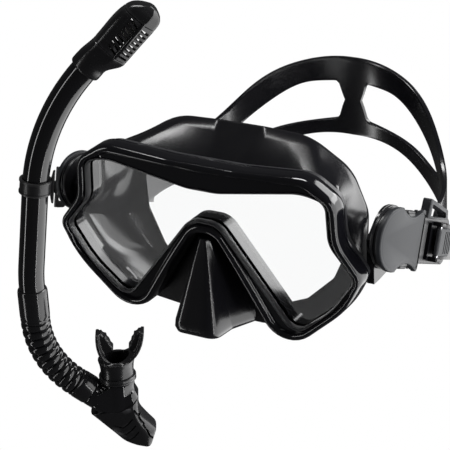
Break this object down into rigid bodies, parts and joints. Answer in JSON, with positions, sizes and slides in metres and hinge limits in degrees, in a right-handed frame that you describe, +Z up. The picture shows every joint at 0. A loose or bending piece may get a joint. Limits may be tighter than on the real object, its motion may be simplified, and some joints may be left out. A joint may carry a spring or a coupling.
{
  "type": "snorkel mask set",
  "caption": "Single-lens diving mask with split silicone head strap and ratchet buckles, shown with its J-shaped dry-top snorkel with corrugated hose, purge chamber and mouthpiece.",
  "frame": {"origin": "on the mask's middle plane at the front of the lens, level with the strap swivels, at mount head_fit", "axes": "+Z up, the mask looks along -Y, +X is the wearer's left"},
  "size_m": [0.3324, 0.2073, 0.3261],
  "materials": {
    "frame_gloss": "polished black polycarbonate",
    "tempered_glass": "clear tempered glass",
    "silicone": "satin black liquid silicone",
    "buckle_black": "black moulded plastic, fine satin",
    "buckle_grey": "dark grey moulded plastic, satin",
    "button_rubber": "soft black rubber",
    "steel": "stainless steel",
    "tube_gloss": "polished black plastic",
    "hose_silicone": "glossy black silicone",
    "dry_top_black": "black plastic, half gloss",
    "float_foam": "closed-cell float, pale",
    "valve_silicone": "translucent grey silicone",
    "keeper_black": "black moulded plastic",
    "mouth_silicone": "food-grade black silicone"
  },
  "bodies": {
    "mask": {"front_frame": "frame_gloss", "rear_frame": "frame_gloss", "lens": "tempered_glass", "skirt": "silicone", "strap_ear_left": "silicone", "strap_ear_right": "silicone", "swivel_pin_left": "buckle_black", "swivel_pin_right": "buckle_black"},
    "strap_harness": {"strap": "silicone", "buckle_body_left": "buckle_black", "buckle_body_right": "buckle_black", "buckle_cover_left": "buckle_grey", "buckle_cover_right": "buckle_grey", "ratchet_frame_left": "buckle_black", "ratchet_frame_right": "buckle_black", "roller_pin_left": "steel", "roller_pin_right": "steel", "pawl_pin_left": "steel", "pawl_pin_right": "steel", "button_spring_left": "steel", "button_spring_right": "steel"},
    "upper_button_left": {"upper_button_left": "button_rubber"},
    "lower_button_left": {"lower_button_left": "button_rubber"},
    "roller_left": {"strap_roller_left": "buckle_black"},
    "pawl_left": {"ratchet_pawl_left": "buckle_grey"},
    "upper_button_right": {"upper_button_right": "button_rubber"},
    "lower_button_right": {"lower_button_right": "button_rubber"},
    "roller_right": {"strap_roller_right": "buckle_black"},
    "pawl_right": {"ratchet_pawl_right": "buckle_grey"},
    "snorkel": {"main_tube": "tube_gloss", "hose_cuff": "hose_silicone", "corrugated_hose": "hose_silicone", "dry_top_collar": "dry_top_black", "dry_top_shroud": "dry_top_black", "dry_top_cap": "dry_top_black"},
    "float": {"valve_float": "float_foam"},
    "flap": {"valve_flap": "valve_silicone"},
    "keeper": {"keeper_ring": "keeper_black", "keeper_pin": "steel"},
    "keeper_loop": {"keeper_loop": "keeper_black"},
    "lower_end": {"lower_cuff": "hose_silicone", "lower_chamber": "tube_gloss", "purge_seat": "dry_top_black", "purge_cover": "dry_top_black", "mouthpiece": "mouth_silicone", "mouth_clamp": "mouth_silicone"},
    "purge_valve": {"purge_valve": "valve_silicone"}
  },
  "joints": [
    {"name": "strap_swing", "type": "hinge", "parent": "mask", "child": "strap_harness", "pos_m": [0, 0.031, -0.0035], "axis": [1, 0, 0], "range_deg": [-20, 70]},
    {"name": "upper_button_press_left", "type": "slide", "parent": "strap_harness", "child": "upper_button_left", "axis": [0, -0.4067, -0.9135], "range_m": [0, 0.0016], "stiffness_N_per_m": 400, "springref_m": -0.0005, "deforming": ["button_spring_left"]},
    {"name": "lower_button_press_left", "type": "slide", "parent": "strap_harness", "child": "lower_button_left", "axis": [0, 0.4067, 0.9135], "range_m": [0, 0.0016], "stiffness_N_per_m": 400, "springref_m": -0.0005, "deforming": ["button_spring_left"]},
    {"name": "roller_spin_left", "type": "hinge", "parent": "strap_harness", "child": "roller_left", "pos_m": [0.09395, 0.08124, -0.02587], "axis": [0, 0.4067, 0.9135], "continuous": true},
    {"name": "pawl_lift_left", "type": "hinge", "parent": "strap_harness", "child": "pawl_left", "pos_m": [0.10005, 0.06937, -0.02058], "axis": [0, -0.4067, -0.9135], "range_deg": [0, 25], "stiffness_Nm_per_rad": 0.02, "springref_deg": -5.73},
    {"name": "upper_button_press_right", "type": "slide", "parent": "strap_harness", "child": "upper_button_right", "axis": [0, -0.4067, -0.9135], "range_m": [0, 0.0016], "stiffness_N_per_m": 400, "springref_m": -0.0005, "deforming": ["button_spring_right"]},
    {"name": "lower_button_press_right", "type": "slide", "parent": "strap_harness", "child": "lower_button_right", "axis": [0, 0.4067, 0.9135], "range_m": [0, 0.0016], "stiffness_N_per_m": 400, "springref_m": -0.0005, "deforming": ["button_spring_right"]},
    {"name": "roller_spin_right", "type": "hinge", "parent": "strap_harness", "child": "roller_right", "pos_m": [-0.09395, 0.08124, -0.02587], "axis": [0, 0.4067, 0.9135], "continuous": true},
    {"name": "pawl_lift_right", "type": "hinge", "parent": "strap_harness", "child": "pawl_right", "pos_m": [-0.10005, 0.06937, -0.02058], "axis": [0, 0.4067, 0.9135], "range_deg": [0, 25], "stiffness_Nm_per_rad": 0.02, "springref_deg": -5.73},
    {"name": "snorkel_lift", "type": "slide", "parent": "mask", "child": "snorkel", "axis": [0, 0, 1], "range_m": [0, 0.1]},
    {"name": "float_rise", "type": "slide", "parent": "snorkel", "child": "float", "axis": [0.5886, 0.3678, 0.7199], "range_m": [0, 0.004]},
    {"name": "flap_close", "type": "hinge", "parent": "snorkel", "child": "flap", "pos_m": [-0.17289, 0.15994, 0.02601], "axis": [-0.5299, 0.848, 0], "range_deg": [0, 35]},
    {"name": "keeper_turn", "type": "hinge", "parent": "snorkel", "child": "keeper", "pos_m": [-0.21307, 0.13483, -0.073], "axis": [0.1239, 0.0774, 0.9893], "range_deg": [-90, 90]},
    {"name": "keeper_loop_turn", "type": "hinge", "parent": "keeper", "child": "keeper_loop", "pos_m": [-0.2007, 0.14256, -0.0701], "axis": [0.1239, 0.0774, 0.9893], "range_deg": [-60, 60]},
    {"name": "hose_flex", "type": "hinge", "parent": "snorkel", "child": "lower_end", "pos_m": [-0.21507, 0.13358, -0.19325], "axis": [0.5299, -0.848, 0], "range_deg": [-12, 18], "stiffness_Nm_per_rad": 1.5, "deforming": ["corrugated_hose"]},
    {"name": "purge_open", "type": "slide", "parent": "lower_end", "child": "purge_valve", "axis": [0.2717, 0.1698, -0.9473], "range_m": [0, 0.0015], "stiffness_N_per_m": 40, "springref_m": -0.0005}
  ],
  "couplings": [
    {"joint": "flap_close", "follows": "float_rise", "rad_per_m": 152.72}
  ]
}
